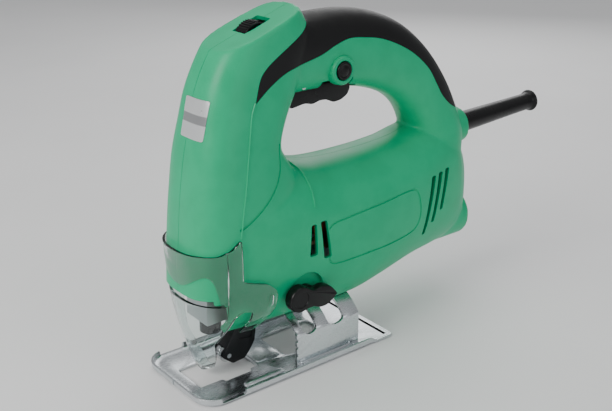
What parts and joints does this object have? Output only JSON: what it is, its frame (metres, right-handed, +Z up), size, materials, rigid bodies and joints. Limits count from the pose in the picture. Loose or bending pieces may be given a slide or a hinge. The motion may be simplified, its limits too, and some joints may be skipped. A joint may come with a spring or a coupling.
{
  "type": "jigsaw power tool",
  "caption": "Top-handle electric jigsaw with a tilting pressed steel base, clear chip guard, soft-grip loop handle and scotch-yoke drive.",
  "frame": {"origin": "on the sole of the base plate, where the saw blade's centre line passes through it", "axes": "+Z up, -X forward along the cut, +Y to the tool's right side"},
  "size_m": [0.3123, 0.0734, 0.2205],
  "materials": {
    "green_plastic": "satin moulded green",
    "grip_rubber": "fine-grained soft black",
    "black_plastic": "satin moulded black",
    "clear_plastic": "clear moulded plastic",
    "zinc_steel": "bright zinc plating",
    "black_steel": "blackened steel",
    "ground_steel": "ground steel",
    "cast_aluminium": "die cast",
    "bronze": "sintered bronze",
    "copper_wire": "enamelled copper",
    "lamination": "stacked steel sheet",
    "carbon": "pressed carbon",
    "spring_steel": "drawn wire",
    "label_foil": "plain silver foil",
    "board": "moulded electronics block",
    "capacitor_film": "cast film capacitor"
  },
  "bodies": {
    "housing": {"housing_left": "green_plastic", "housing_right": "green_plastic", "handle_grip": "grip_rubber", "label_plate": "label_foil", "housing_screws": "zinc_steel", "dust_socket": "green_plastic", "cord_guard": "grip_rubber", "cord_clamp": "black_plastic", "cord_clamp_screws": "zinc_steel", "bevel_clamp_plate": "zinc_steel", "bevel_clamp_screw": "black_steel", "gear_case": "cast_aluminium", "gear_case_screws": "zinc_steel", "plunger_bushes": "bronze", "gear_pin": "ground_steel", "front_bearing": "ground_steel", "rear_bearing": "ground_steel", "stator_core": "lamination", "field_coils": "copper_wire", "brush_holders": "bronze", "carbon_brushes": "carbon", "brush_springs": "spring_steel", "switch_body": "black_plastic", "trigger_pin": "ground_steel", "trigger_spring": "spring_steel", "lock_spring": "spring_steel", "speed_module": "board", "dial_pin": "ground_steel", "arm_pin": "ground_steel", "suppression_capacitor": "capacitor_film"},
    "base": {"base_plate": "zinc_steel", "bevel_bracket": "zinc_steel", "bracket_rivets": "zinc_steel"},
    "guard": {"chip_guard": "clear_plastic"},
    "plunger_body": {"plunger": "ground_steel", "yoke": "ground_steel", "blade_clamp": "black_steel", "blade_clamp_screws": "black_steel"},
    "gear": {"drive_gear": "ground_steel", "crank_pin": "ground_steel"},
    "armature": {"armature_shaft": "ground_steel", "armature_core": "lamination", "armature_windings": "copper_wire", "commutator": "copper_wire", "fan": "black_plastic"},
    "trigger_body": {"trigger": "black_plastic"},
    "lock": {"lock_button": "black_plastic"},
    "dial": {"speed_dial": "black_plastic"},
    "orbit": {"orbit_lever": "black_plastic", "orbit_shaft": "ground_steel"},
    "arm": {"roller_arm": "black_steel", "roller_pin": "ground_steel"},
    "roller_body": {"roller": "ground_steel"}
  },
  "joints": [
    {"name": "bevel_tilt", "type": "hinge", "parent": "housing", "child": "base", "pos_m": [0.068, 0, 0], "axis": [1, 0, 0], "range_deg": [-45, 45]},
    {"name": "guard_slide", "type": "slide", "parent": "housing", "child": "guard", "axis": [-1, 0, 0], "range_m": [0, 0.045]},
    {"name": "plunger_stroke", "type": "slide", "parent": "housing", "child": "plunger_body", "axis": [0, 0, 1], "range_m": [-0.01, 0.01]},
    {"name": "armature_spin", "type": "hinge", "parent": "housing", "child": "armature", "pos_m": [0.046, 0, 0.08], "axis": [1, 0, 0], "continuous": true},
    {"name": "gear_spin", "type": "hinge", "parent": "housing", "child": "gear", "pos_m": [0.024, 0, 0.106], "axis": [1, 0, 0], "continuous": true},
    {"name": "trigger_squeeze", "type": "hinge", "parent": "housing", "child": "trigger_body", "pos_m": [0.062, 0, 0.173], "axis": [0, 1, 0], "range_deg": [-7, 0], "stiffness_Nm_per_rad": 1.2, "springref_deg": 14.32, "deforming": ["trigger_spring"]},
    {"name": "lock_press", "type": "slide", "parent": "housing", "child": "lock", "axis": [0, 1, 0], "range_m": [0, 0.0025], "stiffness_N_per_m": 800, "springref_m": -0.002, "deforming": ["lock_spring"]},
    {"name": "dial_turn", "type": "hinge", "parent": "housing", "child": "dial", "pos_m": [0.0355, 0, 0.2035], "axis": [0, 1, 0], "range_deg": [0, 270]},
    {"name": "orbit_turn", "type": "hinge", "parent": "housing", "child": "orbit", "pos_m": [0.05, -0.0314, 0.05], "axis": [0, 1, 0], "range_deg": [-90, 0]},
    {"name": "arm_swing", "type": "hinge", "parent": "housing", "child": "arm", "pos_m": [0.025, 0, 0.046], "axis": [0, 1, 0], "range_deg": [0, 4]},
    {"name": "roller_spin", "type": "hinge", "parent": "arm", "child": "roller_body", "pos_m": [0.0092, 0, 0.0104], "axis": [0, 1, 0], "continuous": true}
  ],
  "couplings": [
    {"joint": "gear_spin", "follows": "armature_spin", "ratio": -0.18182}
  ]
}
